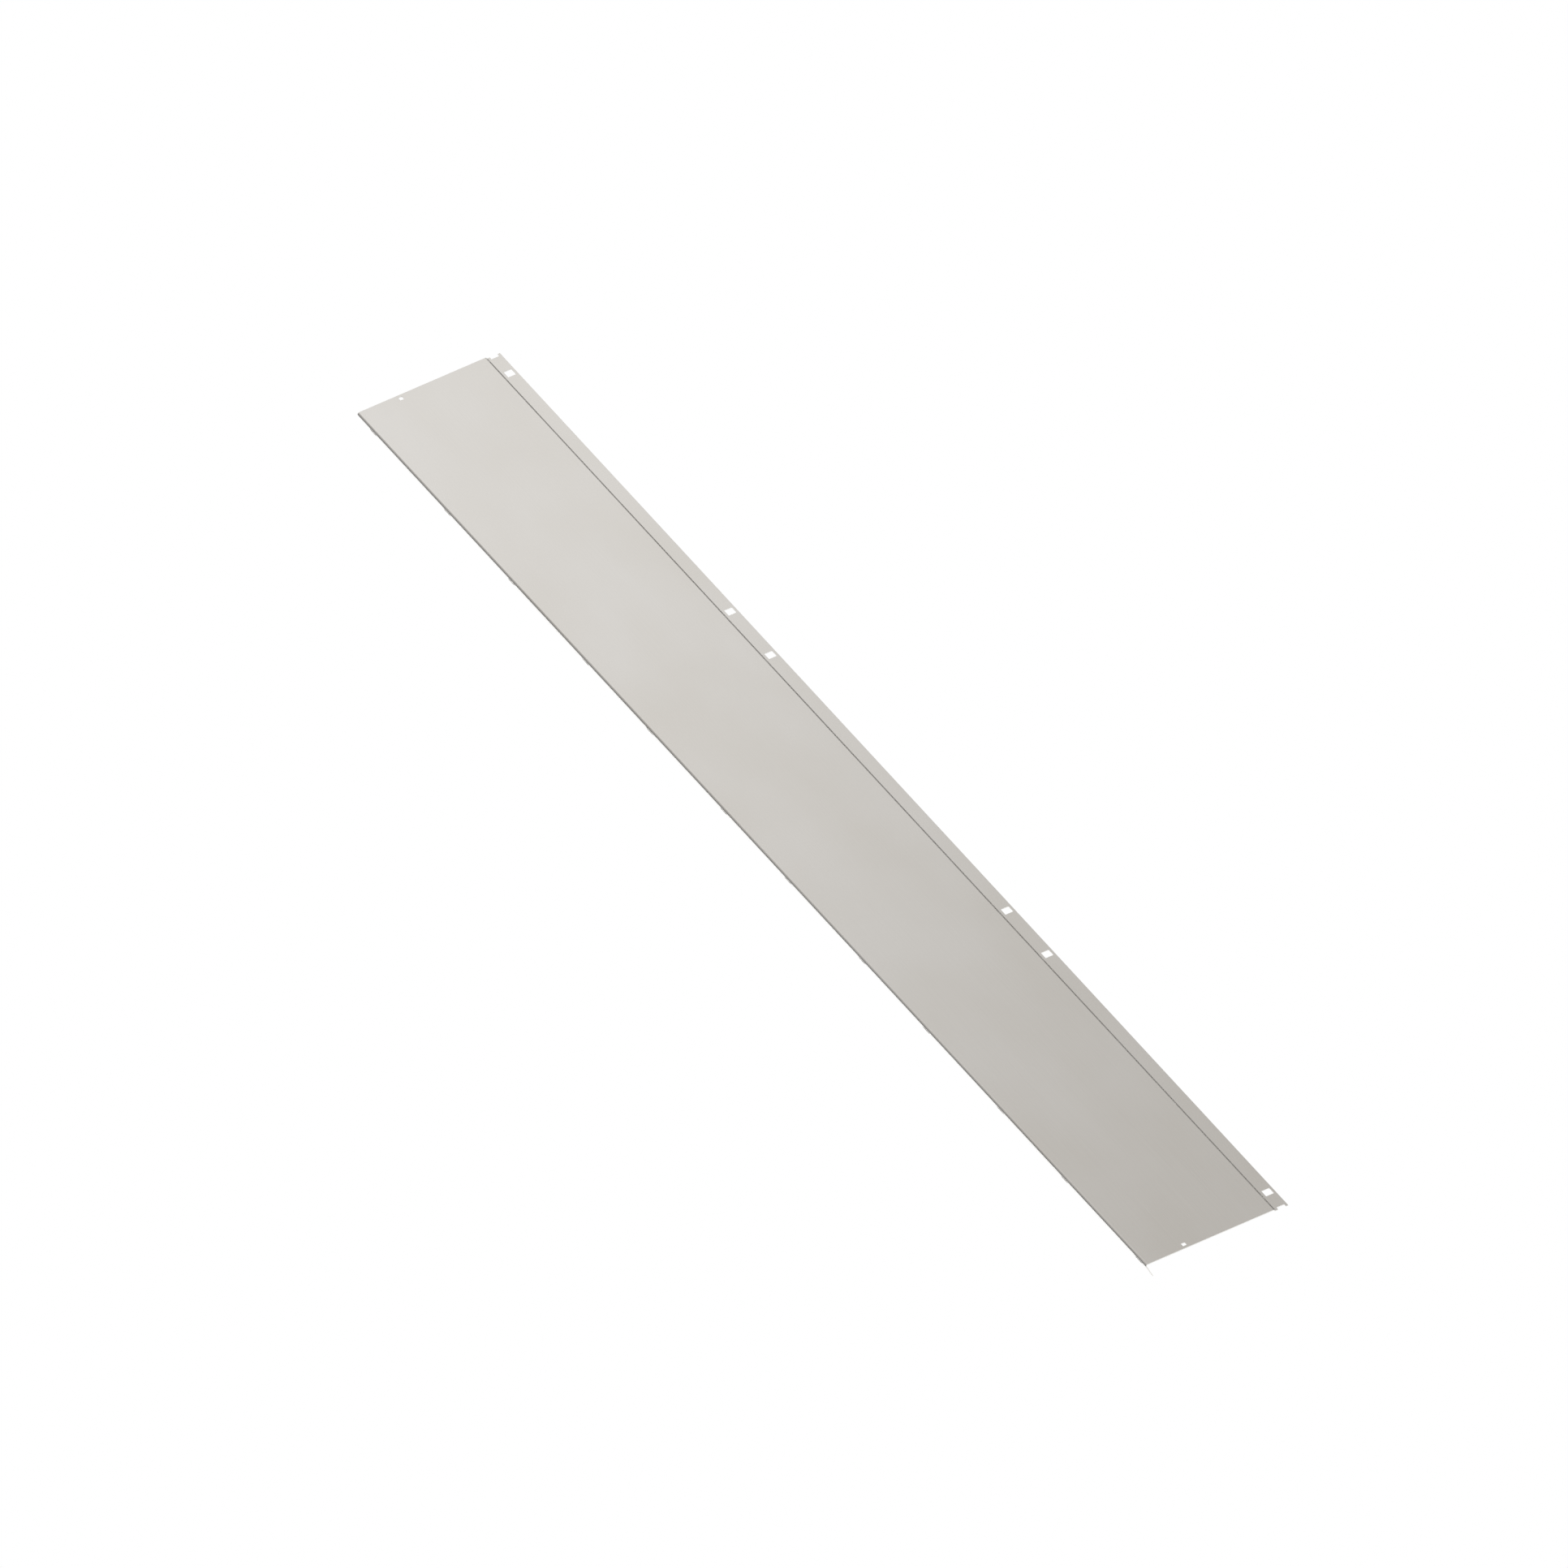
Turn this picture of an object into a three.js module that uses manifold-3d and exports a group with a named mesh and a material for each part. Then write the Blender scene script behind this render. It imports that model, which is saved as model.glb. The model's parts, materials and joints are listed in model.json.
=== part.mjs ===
// Folded sheet-steel cover panel with twelve clip-on leaf springs, in millimetres, +Z up.
// X runs along the panel, Y across it from the hooked flange to the punched strip.
// The origin is under the middle of the panel, level with the flange's lower edge.
import * as THREE from "three";
import { mergeVertices } from "three/addons/utils/BufferGeometryUtils.js";
import Module from "manifold-3d";

// Overall sizes
const panelLength = 2000;
const panelWidth = 228; // outside of the flange's fold to the strip's free edge
const panelHeight = 27; // face down to the flange's lower edge

// Sheet and folds
const sheet = 1.5;
const foldInside = 1.5; // inside radius of every fold
const flangeLean = 24.5; // degrees that the flange leans in past square
const stripDrop = 2.75; // the strip's top lies this far under the face
const stripWidth = 19.75; // flat of the strip, from the joggle's foot to its free edge
const foldSteps = 10; // facets round each fold

// Square punches along the strip
const fixingHole = 12.5; // side of the square
const fixingEndInset = 38.75; // outermost hole centre to the panel's end
const fixingNear = 300; // inner pair, from the middle of the pattern
const fixingFar = 402;
const fixingShift = 2.2; // the whole pattern sits this far towards +X
const endNotchDepth = 4.6; // the same punch, cut open by the panel's ends

// Small square holes in the face, one near each end
const earthHole = 6;
const earthEndInset = 7.3;
const earthFromFlange = 65.3; // from the outside of the flange's fold

// Slots in the flange, in pairs, and the leaf spring clipped over the lower edge of each
const slotPairs = 6;
const slotPairSpan = 188; // centre to centre inside a pair
const slotEndInset = 29; // outermost slot centre to the panel's end, before the shift
const slotShift = 6.6; // the whole pattern sits this far towards +X
const slotLength = 17;
const slotHeight = 4; // along the flange
const slotCorner = 1;
const slotBelowFold = 4.5; // fold's end to the slot's centre, along the flange
const springSheet = 0.3;
const springGap = 0.3; // clear of the flange, all round
const springSideGap = 0.25; // clear of the slot's rounded corners
const springHook = 2.5; // outer lip, below the slot's lower edge
const springFold = 0.4; // inside radius of the lip's fold
const springLeafFold = 1; // inside radius of the leaf's own folds
const springBow = 3; // how far the leaf bows away behind the flange
const springSlope = 24; // degrees between the leaf's slopes and the flange
const springEnd = 1.5; // flat end of the leaf, along the flange

const cutThrough = 5; // how far a cutting block passes the sheet on each side

const wasm = await Module();
wasm.setup();

const radians = THREE.MathUtils.degToRad;

function solidOf(geometry) {
  const bare = geometry.clone();
  bare.deleteAttribute("normal");
  bare.deleteAttribute("uv");
  const merged = mergeVertices(bare, 1e-4);
  return new wasm.Manifold(
    new wasm.Mesh({
      numProp: 3,
      vertProperties: merged.attributes.position.array,
      triVerts: new Uint32Array(merged.index.array),
    }),
  );
}

function geometryOf(solid) {
  const mesh = solid.getMesh();
  const geometry = new THREE.BufferGeometry();
  geometry.setAttribute("position", new THREE.BufferAttribute(mesh.vertProperties, 3));
  geometry.setIndex(new THREE.BufferAttribute(mesh.triVerts, 1));
  geometry.computeVertexNormals();
  return geometry;
}

// The closed outline of a bent strip. The walk follows the skin on its left, so a fold to the
// right has the sheet's thickness inside the skin's radius, and a fold to the left outside it.
// A step is { flat: length } or { turn: degrees, inside: radius }, with left turns positive.
function foldedOutline(x, y, heading, thickness, steps) {
  const skin = [new THREE.Vector2(x, y)];
  let angle = radians(heading);
  const rightOf = (a) => new THREE.Vector2(Math.sin(a), -Math.cos(a));
  const back = [skin[0].clone().addScaledVector(rightOf(angle), thickness)];
  for (const step of steps) {
    const from = skin.at(-1);
    if (step.flat === 0) continue;
    if (step.flat) {
      const along = new THREE.Vector2(Math.cos(angle), Math.sin(angle));
      skin.push(from.clone().addScaledVector(along, step.flat));
      back.push(back.at(-1).clone().addScaledVector(along, step.flat));
      continue;
    }
    const left = step.turn > 0;
    const skinRadius = left ? step.inside : -(step.inside + thickness);
    const centre = from.clone().addScaledVector(rightOf(angle), -skinRadius);
    for (let i = 1; i <= foldSteps; i += 1) {
      const right = rightOf(angle + (radians(step.turn) * i) / foldSteps);
      skin.push(centre.clone().addScaledVector(right, skinRadius));
      back.push(centre.clone().addScaledVector(right, skinRadius + thickness));
    }
    angle += radians(step.turn);
  }
  return new THREE.Shape([...back, ...skin.reverse()]);
}

// Extrudes a section drawn in Y and Z along X, centred on X = 0.
function alongX(section, length) {
  const geometry = new THREE.ExtrudeGeometry(section, { depth: length, bevelEnabled: false });
  geometry.translate(0, 0, -length / 2);
  const yAxis = new THREE.Vector3(0, 1, 0);
  const zAxis = new THREE.Vector3(0, 0, 1);
  const xAxis = new THREE.Vector3(1, 0, 0);
  return geometry.applyMatrix4(new THREE.Matrix4().makeBasis(yAxis, zAxis, xAxis));
}

function roundedRectangle(width, height, radius) {
  const shape = new THREE.Shape();
  const x = width / 2 - radius;
  const y = height / 2 - radius;
  shape.absarc(x, y, radius, 0, Math.PI / 2);
  shape.absarc(-x, y, radius, Math.PI / 2, Math.PI);
  shape.absarc(-x, -y, radius, Math.PI, 1.5 * Math.PI);
  shape.absarc(x, -y, radius, 1.5 * Math.PI, 2 * Math.PI);
  return shape;
}

// Where the folds put the flats
const foldOutside = foldInside + sheet;
const lean = radians(flangeLean);
const foldEndDrop = foldOutside * (1 + Math.sin(lean)); // face to where the flange turns flat
const flangeFlat = (panelHeight - foldEndDrop) / Math.cos(lean);
const joggleFolds = foldOutside + foldInside;
const joggleTurn = Math.acos(Math.max(0, 1 - stripDrop / joggleFolds));
const joggleRiser = Math.max(0, stripDrop - joggleFolds); // straight part of a deep joggle
const joggleRun = joggleFolds * Math.sin(joggleTurn);
const faceFlat = panelWidth - foldOutside - joggleRun - stripWidth;
const flangeSide = -panelWidth / 2;
const foldEndY = flangeSide + foldOutside * (1 - Math.cos(lean));
const foldEndZ = panelHeight - foldEndDrop;
const stripMiddleY = panelWidth / 2 - stripWidth / 2;
const stripTopZ = panelHeight - stripDrop;

function panelSection() {
  return foldedOutline(foldEndY + flangeFlat * Math.sin(lean), 0, 90 + flangeLean, sheet, [
    { flat: flangeFlat },
    { turn: -(90 + flangeLean), inside: foldInside },
    { flat: faceFlat },
    { turn: -THREE.MathUtils.radToDeg(joggleTurn), inside: foldInside },
    { flat: joggleRiser },
    { turn: THREE.MathUtils.radToDeg(joggleTurn), inside: foldInside },
    { flat: stripWidth },
  ]);
}

// X of each square hole in the strip, and of each slot in the flange
const outermostFixing = panelLength / 2 - fixingEndInset;
const fixingPlaces = [-1, 1].flatMap((side) =>
  [fixingNear, fixingFar, outermostFixing].map((x) => side * x + fixingShift),
);
const slotPairPitch = (panelLength - 2 * slotEndInset - slotPairSpan) / (slotPairs - 1);
const slotPlaces = Array.from({ length: slotPairs }, (_, pair) => {
  const middle = (pair - (slotPairs - 1) / 2) * slotPairPitch + slotShift;
  return [middle - slotPairSpan / 2, middle + slotPairSpan / 2];
}).flat();

// The flange's own frame: Y into the panel, Z up along the flange, origin on its outer skin at
// the height of the slots' centres.
const flangeFrame = new THREE.Group();
flangeFrame.position.set(
  0,
  foldEndY + slotBelowFold * Math.sin(lean),
  foldEndZ - slotBelowFold * Math.cos(lean),
);
flangeFrame.rotation.x = lean;
flangeFrame.updateMatrixWorld(true);

function squarePunch(side, x, y, z) {
  const block = new THREE.BoxGeometry(side, side, sheet + 2 * cutThrough);
  return block.translate(x, y, z - sheet / 2);
}

function slotPunch(x) {
  const depth = sheet + 2 * cutThrough;
  const outline = roundedRectangle(slotLength, slotHeight, slotCorner);
  const block = new THREE.ExtrudeGeometry(outline, {
    depth,
    bevelEnabled: false,
    curveSegments: 4,
  });
  block.translate(0, 0, -depth / 2);
  block.rotateX(-Math.PI / 2);
  block.translate(x, sheet / 2, 0);
  return block.applyMatrix4(flangeFrame.matrixWorld);
}

function panelGeometry() {
  let panel = solidOf(alongX(panelSection(), panelLength));
  const notchCentre = panelLength / 2 + fixingHole / 2 - endNotchDepth;
  const punches = [
    ...fixingPlaces.map((x) => squarePunch(fixingHole, x, stripMiddleY, stripTopZ)),
    ...[-1, 1].map((end) =>
      squarePunch(fixingHole, end * notchCentre, stripMiddleY, stripTopZ),
    ),
    ...[-1, 1].map((end) =>
      squarePunch(
        earthHole,
        end * (panelLength / 2 - earthEndInset),
        flangeSide + earthFromFlange,
        panelHeight,
      ),
    ),
    ...slotPlaces.map(slotPunch),
  ];
  for (const punch of punches) panel = panel.subtract(solidOf(punch));
  return geometryOf(panel);
}

// A leaf spring's section in the flange's frame: a lip outside the flange, a bridge over the
// slot's lower edge, and a leaf that bows away behind the flange and comes back to it.
function springSection() {
  const slope = radians(springSlope);
  const leafSkin = springLeafFold + springSheet; // outside radius of the leaf's folds
  const lipFlat = springHook + springGap - springFold;
  const bridge = sheet + springGap - springFold;
  const crown = leafSkin * (1 - Math.cos(slope));
  const outFlat = (springBow - leafSkin * Math.cos(slope) - crown) / Math.sin(slope);
  const returned = springLeafFold * (1 - Math.cos(slope));
  const restDepth = leafSkin * Math.cos(slope) - springGap - springSheet - returned;
  const backFlat = outFlat + restDepth / Math.sin(slope);
  const lipDepth = -springGap - springSheet;
  const lipEnd = -slotHeight / 2 - springHook;
  return foldedOutline(lipDepth, lipEnd, 90, springSheet, [
    { flat: lipFlat },
    { turn: -90, inside: springFold },
    { flat: bridge },
    { turn: springSlope - 90, inside: springLeafFold },
    { flat: outFlat },
    { turn: -2 * springSlope, inside: springLeafFold },
    { flat: backFlat },
    { turn: springSlope, inside: springLeafFold },
    { flat: springEnd },
  ]);
}

const galvanised = new THREE.MeshStandardMaterial({
  color: 0xc6c4be,
  roughness: 0.42,
  metalness: 0.85,
});
const springSteel = new THREE.MeshStandardMaterial({
  color: 0xe6e4e0,
  roughness: 0.3,
  metalness: 0.95,
});

const part = new THREE.Group();

const panel = new THREE.Mesh(panelGeometry(), galvanised);
panel.name = "cover_panel";
part.add(panel);

const springWidth = slotLength - 2 * (slotCorner + springSideGap);
const springGeometry = alongX(springSection(), springWidth);
slotPlaces.forEach((x, index) => {
  const spring = new THREE.Mesh(springGeometry, springSteel);
  spring.name = `leaf_spring_${String(index + 1).padStart(2, "0")}`;
  spring.position.x = x;
  flangeFrame.add(spring);
});
part.add(flangeFrame);

export default part;
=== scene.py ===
import json
import math
import bmesh
import bpy
from mathutils import Matrix, Vector


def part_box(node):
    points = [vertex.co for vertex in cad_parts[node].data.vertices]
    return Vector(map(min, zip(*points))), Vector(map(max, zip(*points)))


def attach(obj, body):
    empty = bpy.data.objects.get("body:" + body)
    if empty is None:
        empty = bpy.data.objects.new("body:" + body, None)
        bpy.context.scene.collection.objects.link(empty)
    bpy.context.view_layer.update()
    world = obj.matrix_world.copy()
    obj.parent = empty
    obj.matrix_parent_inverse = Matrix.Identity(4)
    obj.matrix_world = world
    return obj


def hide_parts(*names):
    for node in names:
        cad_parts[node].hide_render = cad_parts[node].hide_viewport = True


# Folded steel cover panel with twelve leaf springs. Metres, +Z up, X along the panel.
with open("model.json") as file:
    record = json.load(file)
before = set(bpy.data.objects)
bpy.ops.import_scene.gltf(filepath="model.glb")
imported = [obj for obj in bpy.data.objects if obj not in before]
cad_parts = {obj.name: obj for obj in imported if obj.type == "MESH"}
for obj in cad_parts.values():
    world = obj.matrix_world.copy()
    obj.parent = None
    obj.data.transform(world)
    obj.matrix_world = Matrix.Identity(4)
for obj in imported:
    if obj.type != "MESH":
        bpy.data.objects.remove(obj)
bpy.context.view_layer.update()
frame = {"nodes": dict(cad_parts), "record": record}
print("frame loaded:", len(frame["nodes"]), "nodes")

panelLow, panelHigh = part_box("cover_panel")
springNames = sorted(name for name in frame["nodes"] if name.startswith("leaf_spring"))
openings = {entry["name"]: entry["box_m"] for entry in frame["record"]["physics"]["openings"]}


# Sheet metal: a skin is walked step by step, then drawn out along X.
def headingVector(angle):
    return Vector((0, math.cos(angle), math.sin(angle)))


def walkSkin(bm, start, heading, steps, sheet, segments):
    # ("flat", length) goes on, ("turn", angle, inside radius) folds; left turns are positive
    tip = bmesh.ops.create_vert(bm, co=start)["vert"][0]
    for kind, amount, *inside in steps:
        if kind == "flat":
            grown = bmesh.ops.extrude_vert_indiv(bm, verts=[tip])
            tip = grown["verts"][0]
            bmesh.ops.translate(bm, verts=[tip], vec=headingVector(heading) * amount)
            continue
        side = 1 if amount > 0 else -1
        radius = inside[0] if side > 0 else inside[0] + sheet
        centre = tip.co + headingVector(heading + side * math.pi / 2) * radius
        turned = bmesh.ops.spin(bm, geom=[tip], cent=centre, axis=(1, 0, 0), dvec=(0, 0, 0),
                                angle=amount, steps=segments, use_merge=False)
        tip = next(item for item in turned["geom_last"] if isinstance(item, bmesh.types.BMVert))
        heading += amount


def fixOrder(bm):
    # extruding numbers the new corners, edges and faces differently each time it runs
    spread = Vector((1, 17.3, 311.7))  # gives each place its own number
    bm.verts.sort(key=lambda vert: vert.co.dot(spread))
    bm.edges.sort(key=lambda edge: (edge.verts[0].co + edge.verts[1].co).dot(spread))
    bm.faces.sort(key=lambda face: face.calc_center_median().dot(spread))


def drawOut(bm, length):
    grown = bmesh.ops.extrude_edge_only(bm, edges=bm.edges[:])
    newVerts = [item for item in grown["geom"] if isinstance(item, bmesh.types.BMVert)]
    bmesh.ops.translate(bm, verts=newVerts, vec=(length, 0, 0))
    fixOrder(bm)


def faceSkinOutwards(bm, outward):
    # the largest flat tells which way the skin looks
    bmesh.ops.recalc_face_normals(bm, faces=bm.faces[:])
    widest = max(bm.faces, key=lambda face: face.calc_area())
    if widest.normal.dot(outward) < 0:
        bmesh.ops.reverse_faces(bm, faces=bm.faces[:])


def newObject(name, bm, materials):
    mesh = bpy.data.meshes.new(name)
    bm.to_mesh(mesh)
    bm.free()
    obj = bpy.data.objects.new(name, mesh)
    bpy.context.scene.collection.objects.link(obj)
    for material in materials:
        mesh.materials.append(material)
    return obj


def addThickness(obj, thickness):
    solidify = obj.modifiers.new("thickness", "SOLIDIFY")
    solidify.thickness = thickness
    solidify.offset = -1
    solidify.use_even_offset = True
    solidify.material_offset_rim = 1


def addEdgeRound(obj, width):
    bevel = obj.modifiers.new("edge_round", "BEVEL")
    bevel.width = width
    bevel.segments = 2
    bevel.limit_method = "ANGLE"
    bevel.angle_limit = math.radians(40)


def settle(obj):
    # makes the modifiers part of the mesh; the flats keep their own normals, folds stay smooth
    weighted = obj.modifiers.new("flat_normals", "WEIGHTED_NORMAL")
    weighted.mode = "FACE_AREA"
    weighted.weight = 100
    obj.data.shade_smooth()
    depsgraph = bpy.context.evaluated_depsgraph_get()
    settled = bpy.data.meshes.new_from_object(obj.evaluated_get(depsgraph))
    settled.name = obj.name
    obj.modifiers.clear()
    obj.data = settled


def newMaterial(name):
    material = bpy.data.materials.new(name)
    material.use_nodes = True
    nodes = material.node_tree.nodes
    links = material.node_tree.links
    return material, nodes, links, nodes["Principled BSDF"]


def stretchedNoise(nodes, links, stretch, detail, roughness):
    # noise on object coordinates, drawn out by a different scale on each axis
    coordinates = nodes.new("ShaderNodeTexCoord")
    mapping = nodes.new("ShaderNodeMapping")
    mapping.inputs["Scale"].default_value = stretch
    noise = nodes.new("ShaderNodeTexNoise")
    noise.inputs["Scale"].default_value = 1.0
    noise.inputs["Detail"].default_value = detail
    noise.inputs["Roughness"].default_value = roughness
    links.new(coordinates.outputs["Object"], mapping.inputs["Vector"])
    links.new(mapping.outputs["Vector"], noise.inputs["Vector"])
    return noise.outputs["Fac"]


def ramp(nodes, links, source, stops):
    node = nodes.new("ShaderNodeValToRGB")
    node.color_ramp.elements[0].position = stops[0][0]
    node.color_ramp.elements[0].color = (*stops[0][1], 1)
    node.color_ramp.elements[1].position = stops[-1][0]
    node.color_ramp.elements[1].color = (*stops[-1][1], 1)
    for position, colour in stops[1:-1]:
        node.color_ramp.elements.new(position).color = (*colour, 1)
    links.new(source, node.inputs["Fac"])
    return node.outputs["Color"]


def blendColours(nodes, links, first, second, share, mode):
    mix = nodes.new("ShaderNodeMix")
    mix.data_type = "RGBA"
    mix.blend_type = mode
    mix.inputs["Factor"].default_value = share
    links.new(first, mix.inputs["A"])
    links.new(second, mix.inputs["B"])
    return mix.outputs["Result"]


def mapRange(nodes, links, source, low, high):
    node = nodes.new("ShaderNodeMapRange")
    node.inputs["From Min"].default_value = 0.25
    node.inputs["From Max"].default_value = 0.75
    node.inputs["To Min"].default_value = low
    node.inputs["To Max"].default_value = high
    links.new(source, node.inputs["Value"])
    return node.outputs["Result"]


def addBump(nodes, links, shader, height, distance, strength):
    bump = nodes.new("ShaderNodeBump")
    bump.inputs["Distance"].default_value = distance
    bump.inputs["Strength"].default_value = strength
    links.new(height, bump.inputs["Height"])
    links.new(bump.outputs["Normal"], shader.inputs["Normal"])


noiseSpan = (0.3, 0.7)  # where the noise's dark and light ends lie


def shades(nodes, links, noise, dark, light):
    return ramp(nodes, links, noise, [(noiseSpan[0], dark), (noiseSpan[1], light)])


def finishMetal(nodes, links, shader, colour, noise, settings):
    links.new(colour, shader.inputs["Base Color"])
    shader.inputs["Metallic"].default_value = 1.0
    roughness = mapRange(nodes, links, noise, *settings["roughness"])
    links.new(roughness, shader.inputs["Roughness"])
    addBump(nodes, links, shader, noise, settings["bump"], 0.5)


zinc = {
    "clouds": (5, 9, 9),  # how often each noise repeats per metre along X, Y and Z
    "grain": (6, 1400, 1400),
    "dark": (0.735, 0.725, 0.705),
    "light": (0.765, 0.76, 0.75),
    "grainShade": (0.94, 0.94, 0.94),
    "roughness": (0.33, 0.41),
    "bump": 0.00001,
}


def galvanisedSheet():
    material, nodes, links, shader = newMaterial("galvanised_sheet")
    clouds = stretchedNoise(nodes, links, zinc["clouds"], 2, 0.5)
    grain = stretchedNoise(nodes, links, zinc["grain"], 4, 0.6)
    tint = shades(nodes, links, clouds, zinc["dark"], zinc["light"])
    streaks = shades(nodes, links, grain, zinc["grainShade"], (1, 1, 1))
    colour = blendColours(nodes, links, tint, streaks, 1.0, "MULTIPLY")
    finishMetal(nodes, links, shader, colour, grain, zinc)
    return material


cutEdge = {
    "noise": (2500, 2500, 300),
    "dark": (0.55, 0.54, 0.52),
    "light": (0.74, 0.73, 0.71),
    "roughness": (0.35, 0.5),
    "bump": 0.00003,
}

springStrip = {
    "noise": (2400, 40, 40),
    "dark": (0.88, 0.87, 0.85),
    "light": (0.93, 0.925, 0.91),
    "roughness": (0.24, 0.32),
    "bump": 0.000006,
}


def plainMetal(name, settings):
    material, nodes, links, shader = newMaterial(name)
    noise = stretchedNoise(nodes, links, settings["noise"], 3, 0.6)
    colour = shades(nodes, links, noise, settings["dark"], settings["light"])
    finishMetal(nodes, links, shader, colour, noise, settings)
    return material


zincSkin = galvanisedSheet()
cutMetal = plainMetal("sheared_edge", cutEdge)
springMetal = plainMetal("spring_steel", springStrip)
print("materials made")


panel = {
    "sheet": 0.0015,
    "foldInside": 0.0015,
    "foldSegments": 24,
    "flangeLean": math.radians(24.5),  # past square
    "stripDrop": 0.00275,
    "stripWidth": 0.01975,
    "edgeRound": 0.00014,  # burr rubbed off every cut edge
}

punches = {
    "square": 0.0125,
    "squareCorner": 0.0003,
    "small": 0.006,
    "smallCorner": 0.0002,
    "notchDepth": 0.0046,
    "slotLength": 0.017,
    "slotHeight": 0.004,
    "slotCorner": 0.001,
    "slotBelowFold": 0.0045,
    "reach": 0.01,  # how thick the punching blocks are
}

# where the folds put the flats
foldOutside = panel["foldInside"] + panel["sheet"]
lean = panel["flangeLean"]
panelHeight = panelHigh.z - panelLow.z
foldEndY = panelLow.y + foldOutside * (1 - math.cos(lean))
foldEndZ = panelHigh.z - foldOutside * (1 + math.sin(lean))
flangeFlat = (foldEndZ - panelLow.z) / math.cos(lean)
joggleFolds = foldOutside + panel["foldInside"]
joggleTurn = math.acos(1 - panel["stripDrop"] / joggleFolds)
joggleRun = joggleFolds * math.sin(joggleTurn)
faceFlat = panelHigh.y - panelLow.y - foldOutside - joggleRun - panel["stripWidth"]
flangePlace = Matrix.Translation((
    0,
    foldEndY + punches["slotBelowFold"] * math.sin(lean),
    foldEndZ - punches["slotBelowFold"] * math.cos(lean),
)) @ Matrix.Rotation(lean, 4, "X")  # on the flange's outer skin, level with the slots


def punchBlock(bm, place, size, corner, along):
    # a block whose edges in the punching direction are rounded; along is 1 for Y, 2 for Z
    made = bmesh.ops.create_cube(bm, size=1, matrix=place @ Matrix.Diagonal((*size, 1)))
    direction = place.to_3x3().col[along].normalized()
    corners = set(made["verts"])
    edges = [edge for edge in bm.edges if corners.issuperset(edge.verts)]  # always in one order
    upright = [edge for edge in edges
               if abs((edge.verts[1].co - edge.verts[0].co).normalized().dot(direction)) > 0.99]
    bmesh.ops.bevel(bm, geom=upright, offset=corner, segments=4, profile=0.5,
                    affect="EDGES", material=-1)


def openingMiddle(name):
    low, high = openings[name]
    return (Vector(low) + Vector(high)) / 2


def makePunches():
    bm = bmesh.new()
    reach = punches["reach"]
    square = (punches["square"], punches["square"], reach)
    small = (punches["small"], punches["small"], reach)
    stripMiddle = panelHigh.y - panel["stripWidth"] / 2
    for name in openings:
        middle = openingMiddle(name)
        if name.startswith("strip_hole"):
            place = Matrix.Translation((middle.x, stripMiddle, panelHigh.z))
            punchBlock(bm, place, square, punches["squareCorner"], 2)
        if name.startswith("end_notch"):
            side = math.copysign(1, middle.x)
            end = panelHigh.x if side > 0 else panelLow.x
            centre = end + side * (punches["square"] / 2 - punches["notchDepth"])
            place = Matrix.Translation((centre, stripMiddle, panelHigh.z))
            punchBlock(bm, place, square, punches["squareCorner"], 2)
        if name.startswith("face_hole"):
            place = Matrix.Translation((middle.x, middle.y, panelHigh.z))
            punchBlock(bm, place, small, punches["smallCorner"], 2)
    slot = (punches["slotLength"], reach, punches["slotHeight"])
    for name in springNames:
        low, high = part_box(name)
        place = Matrix.Translation(((low.x + high.x) / 2, 0, 0)) @ flangePlace
        punchBlock(bm, place, slot, punches["slotCorner"], 1)
    for face in bm.faces:
        face.material_index = 1
    return newObject("punches", bm, [zincSkin, cutMetal])


def makePanel():
    bm = bmesh.new()
    start = (panelLow.x, foldEndY + flangeFlat * math.sin(lean), panelLow.z)
    inside = panel["foldInside"]
    walkSkin(bm, start, math.pi / 2 + lean, [
        ("flat", flangeFlat),
        ("turn", -(math.pi / 2 + lean), inside),
        ("flat", faceFlat),
        ("turn", -joggleTurn, inside),
        ("turn", joggleTurn, inside),
        ("flat", panel["stripWidth"]),
    ], panel["sheet"], panel["foldSegments"])
    drawOut(bm, panelHigh.x - panelLow.x)
    faceSkinOutwards(bm, Vector((0, 0, 1)))
    obj = newObject("folded_panel", bm, [zincSkin, cutMetal])
    addThickness(obj, panel["sheet"])
    cutters = makePunches()
    boolean = obj.modifiers.new("punched", "BOOLEAN")
    boolean.operation = "DIFFERENCE"
    boolean.solver = "EXACT"
    boolean.object = cutters
    addEdgeRound(obj, panel["edgeRound"])
    settle(obj)
    bpy.data.objects.remove(cutters)
    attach(obj, "root")
    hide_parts("cover_panel")
    return obj


coverPanel = makePanel()
print("panel made:", len(coverPanel.data.polygons), "faces")


spring = {
    "sheet": 0.0003,
    "gap": 0.00005,  # the lip all but touches the flange
    "hook": 0.0025,
    "fold": 0.00015,
    "bow": 0.003,
    "leafFold": 0.001,
    "slope": math.radians(24),
    "end": 0.0015,
    "foldSegments": 10,
    "cornerRound": 0.0012,
    "edgeRound": 0.00005,
}


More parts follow.
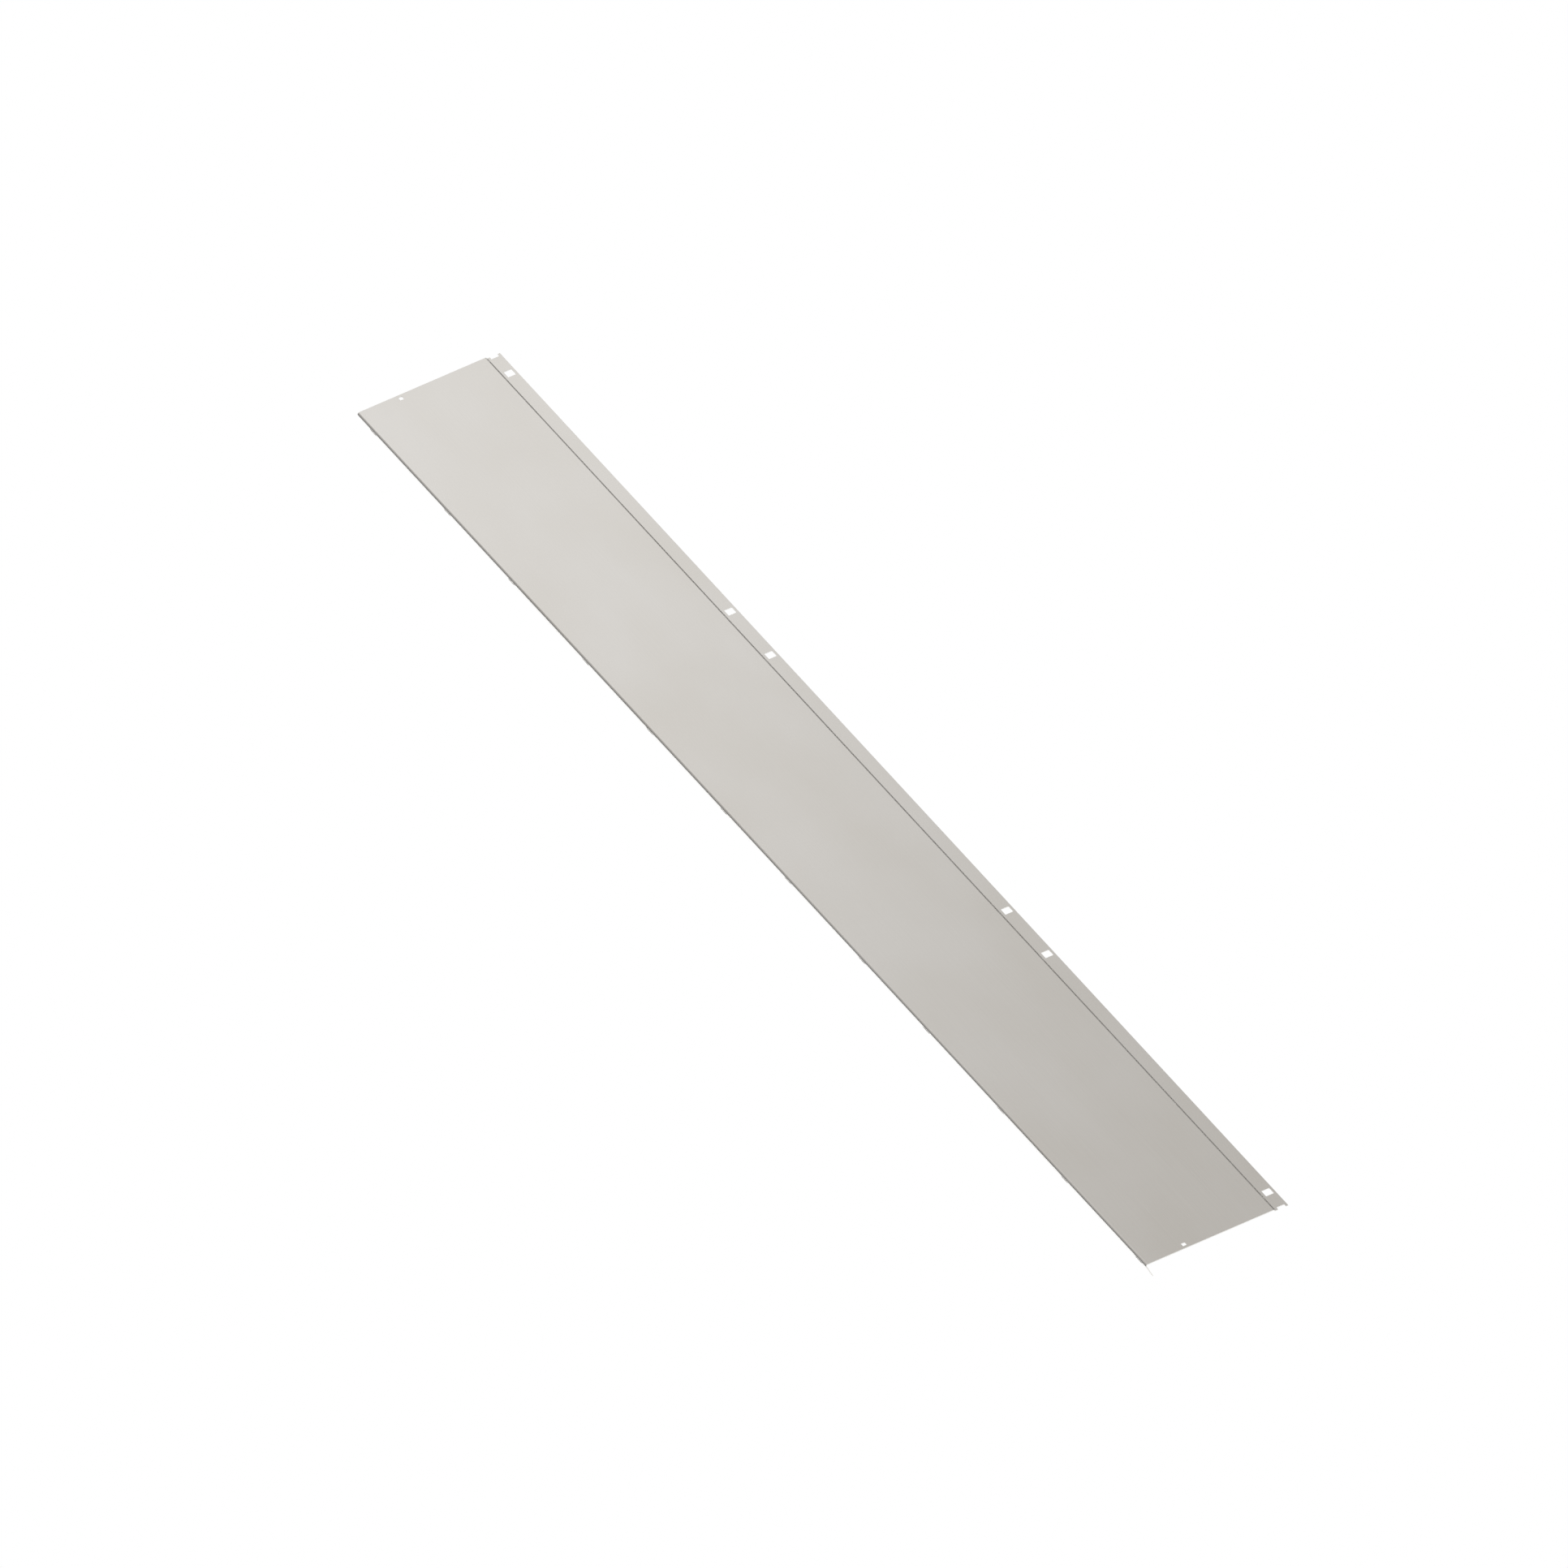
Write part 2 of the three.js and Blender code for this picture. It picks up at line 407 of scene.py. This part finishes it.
def makeSpring(name):
    low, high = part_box(name)
    bm = bmesh.new()
    sheet = spring["sheet"]
    gap = spring["gap"]
    slope = spring["slope"]
    leafFold = spring["leafFold"]
    leafSkin = leafFold + sheet
    bow = spring["bow"] - leafSkin * math.cos(slope) - leafSkin * (1 - math.cos(slope))
    outFlat = bow / math.sin(slope)
    rest = leafSkin * math.cos(slope) - gap - sheet - leafFold * (1 - math.cos(slope))
    start = (low.x, -gap - sheet, -punches["slotHeight"] / 2 - spring["hook"])
    walkSkin(bm, start, math.pi / 2, [
        ("flat", spring["hook"] + gap - spring["fold"]),
        ("turn", -math.pi / 2, spring["fold"]),
        ("flat", panel["sheet"] + gap - spring["fold"]),
        ("turn", slope - math.pi / 2, leafFold),
        ("flat", outFlat),
        ("turn", -2 * slope, leafFold),
        ("flat", outFlat + rest / math.sin(slope)),
        ("turn", slope, leafFold),
        ("flat", spring["end"]),
    ], sheet, spring["foldSegments"])
    drawOut(bm, high.x - low.x)
    corners = [vert for vert in bm.verts if len(vert.link_edges) == 2]
    bmesh.ops.bevel(bm, geom=corners, offset=spring["cornerRound"], segments=5, profile=0.5,
                    affect="VERTICES", material=-1)
    bmesh.ops.transform(bm, matrix=flangePlace, verts=bm.verts[:])
    bmesh.ops.recalc_face_normals(bm, faces=bm.faces[:])
    lip = min(bm.faces, key=lambda face: face.calc_center_median().z)
    if lip.normal.y > 0:
        bmesh.ops.reverse_faces(bm, faces=bm.faces[:])
    obj = newObject(name.replace("leaf_spring", "leaf"), bm, [springMetal])
    addThickness(obj, sheet)
    addEdgeRound(obj, spring["edgeRound"])
    settle(obj)
    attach(obj, "root")
    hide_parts(name)
    return obj


leaves = [makeSpring(name) for name in springNames]
print("springs made:", len(leaves), "of", len(leaves[0].data.polygons), "faces")


studio = {
    "azimuth": math.radians(57.72),
    "elevation": math.radians(43.05),
    "frameWidth": 2.1244,
    "frameRight": -0.05265,  # the frame's middle from the middle of the plain face
    "frameUp": 0.0327,
    "distance": 4.0,
    "floorSize": 14.0,
    "floorBounce": 1.35,
    "cardSize": (4.0, 0.7),
    "cardGap": 0.007,  # from the card's edge to the flange's fold
    "cardLift": 0.0005,
    "cardShade": 0.33,
    "wallSize": (8.0, 1.6),
    "wallPlace": (-1.0, -2.6, 0.8),
    "wallTint": (1, 0.98, 0.95),
    "wallGlow": 0.5,
    "softboxPlace": (-2.5, 0.6, 1.8),
    "softboxTarget": (-0.7, -0.1, 0),
    "softboxSize": (2.0, 2.0),
    "softboxPower": 5.5,
}

# what the metal mirrors round it, from straight down to straight up
surroundings = [
    (0.0, (0.02, 0.02, 0.02)),
    (0.3, (0.12, 0.115, 0.11)),
    (0.6, (0.626, 0.598, 0.561)),
    (1.0, (0.85, 0.83, 0.8)),
]


def plainWhenSeen(nodes, links, bounce):
    # white where it is looked at directly, another strength where the metal mirrors it
    path = nodes.new("ShaderNodeLightPath")
    strength = nodes.new("ShaderNodeMapRange")
    strength.inputs["To Min"].default_value = bounce
    strength.inputs["To Max"].default_value = 1.0
    links.new(path.outputs["Is Camera Ray"], strength.inputs["Value"])
    return strength.outputs["Result"]


def hiddenSheet(name, place, size, material):
    # flat, there to be mirrored and never seen
    bm = bmesh.new()
    bmesh.ops.create_grid(bm, x_segments=1, y_segments=1, size=0.5,
                          matrix=place @ Matrix.Diagonal((*size, 1, 1)))
    sheet = newObject(name, bm, [material])
    sheet.visible_camera = False


def matte(name, shade, glow, strength):
    material, _, _, shader = newMaterial(name)
    shader.inputs["Base Color"].default_value = (shade, shade, shade, 1)
    shader.inputs["Specular IOR Level"].default_value = 0
    shader.inputs["Emission Color"].default_value = (*glow, 1)
    shader.inputs["Emission Strength"].default_value = strength
    return material


def makeFloor():
    bm = bmesh.new()
    bmesh.ops.create_grid(bm, x_segments=1, y_segments=1, size=studio["floorSize"] / 2)
    glow = matte("white_floor", 0, (1, 1, 1), 1.0)
    nodes = glow.node_tree.nodes
    links = glow.node_tree.links
    strength = plainWhenSeen(nodes, links, studio["floorBounce"])
    links.new(strength, nodes["Principled BSDF"].inputs["Emission Strength"])
    newObject("floor", bm, [glow])


def makeCard():
    # dark, on the floor beside the flange
    size = studio["cardSize"]
    middle = panelLow.y - studio["cardGap"] - size[1] / 2
    place = Matrix.Translation((0, middle, studio["cardLift"]))
    dark = matte("dark_card", studio["cardShade"], (1, 1, 1), 0)
    hiddenSheet("dark_card", place, size, dark)


def makeWall():
    # dim and upright behind the card, it lifts the folds where they mirror the horizon
    place = Matrix.Translation(studio["wallPlace"]) @ Matrix.Rotation(math.pi / 2, 4, "X")
    dim = matte("dim_wall", 0, studio["wallTint"], studio["wallGlow"])
    hiddenSheet("dim_wall", place, studio["wallSize"], dim)


def makeWorld():
    world = bpy.data.worlds.new("studio")
    bpy.context.scene.world = world
    world.use_nodes = True
    nodes = world.node_tree.nodes
    links = world.node_tree.links
    background = nodes["Background"]
    coordinates = nodes.new("ShaderNodeTexCoord")
    split = nodes.new("ShaderNodeSeparateXYZ")
    links.new(coordinates.outputs["Generated"], split.inputs["Vector"])
    walls = ramp(nodes, links, split.outputs["Z"], surroundings)
    path = nodes.new("ShaderNodeLightPath")
    choose = nodes.new("ShaderNodeMix")
    choose.data_type = "RGBA"
    links.new(path.outputs["Is Camera Ray"], choose.inputs["Factor"])
    links.new(walls, choose.inputs["A"])
    choose.inputs["B"].default_value = (1, 1, 1, 1)
    links.new(choose.outputs["Result"], background.inputs["Color"])


def addSoftbox():
    place, target = Vector(studio["softboxPlace"]), Vector(studio["softboxTarget"])
    light = bpy.data.lights.new("softbox", "AREA")
    light.shape = "RECTANGLE"
    light.size, light.size_y = studio["softboxSize"]
    light.energy = studio["softboxPower"]
    obj = bpy.data.objects.new("softbox", light)
    obj.location = place
    obj.rotation_euler = (target - place).to_track_quat("-Z", "Y").to_euler()
    bpy.context.scene.collection.objects.link(obj)


def makeCamera():
    azimuth, elevation = studio["azimuth"], studio["elevation"]
    right = Vector((math.cos(azimuth), math.sin(azimuth), 0))
    back = Vector((math.sin(azimuth) * math.cos(elevation),
                   -math.cos(azimuth) * math.cos(elevation), math.sin(elevation)))
    up = back.cross(right)
    faceMiddle = Vector((0, 0, panelHigh.z))
    target = faceMiddle + right * studio["frameRight"] + up * studio["frameUp"]
    data = bpy.data.cameras.new("camera")
    data.type = "ORTHO"
    data.ortho_scale = studio["frameWidth"]
    camera = bpy.data.objects.new("camera", data)
    camera.location = target + back * studio["distance"]
    camera.rotation_euler = (-back).to_track_quat("-Z", "Y").to_euler()
    bpy.context.scene.collection.objects.link(camera)
    bpy.context.scene.camera = camera


makeFloor()
makeCard()
makeWall()
makeWorld()
addSoftbox()
makeCamera()
bpy.context.scene.view_settings.view_transform = "Standard"
print("studio made")
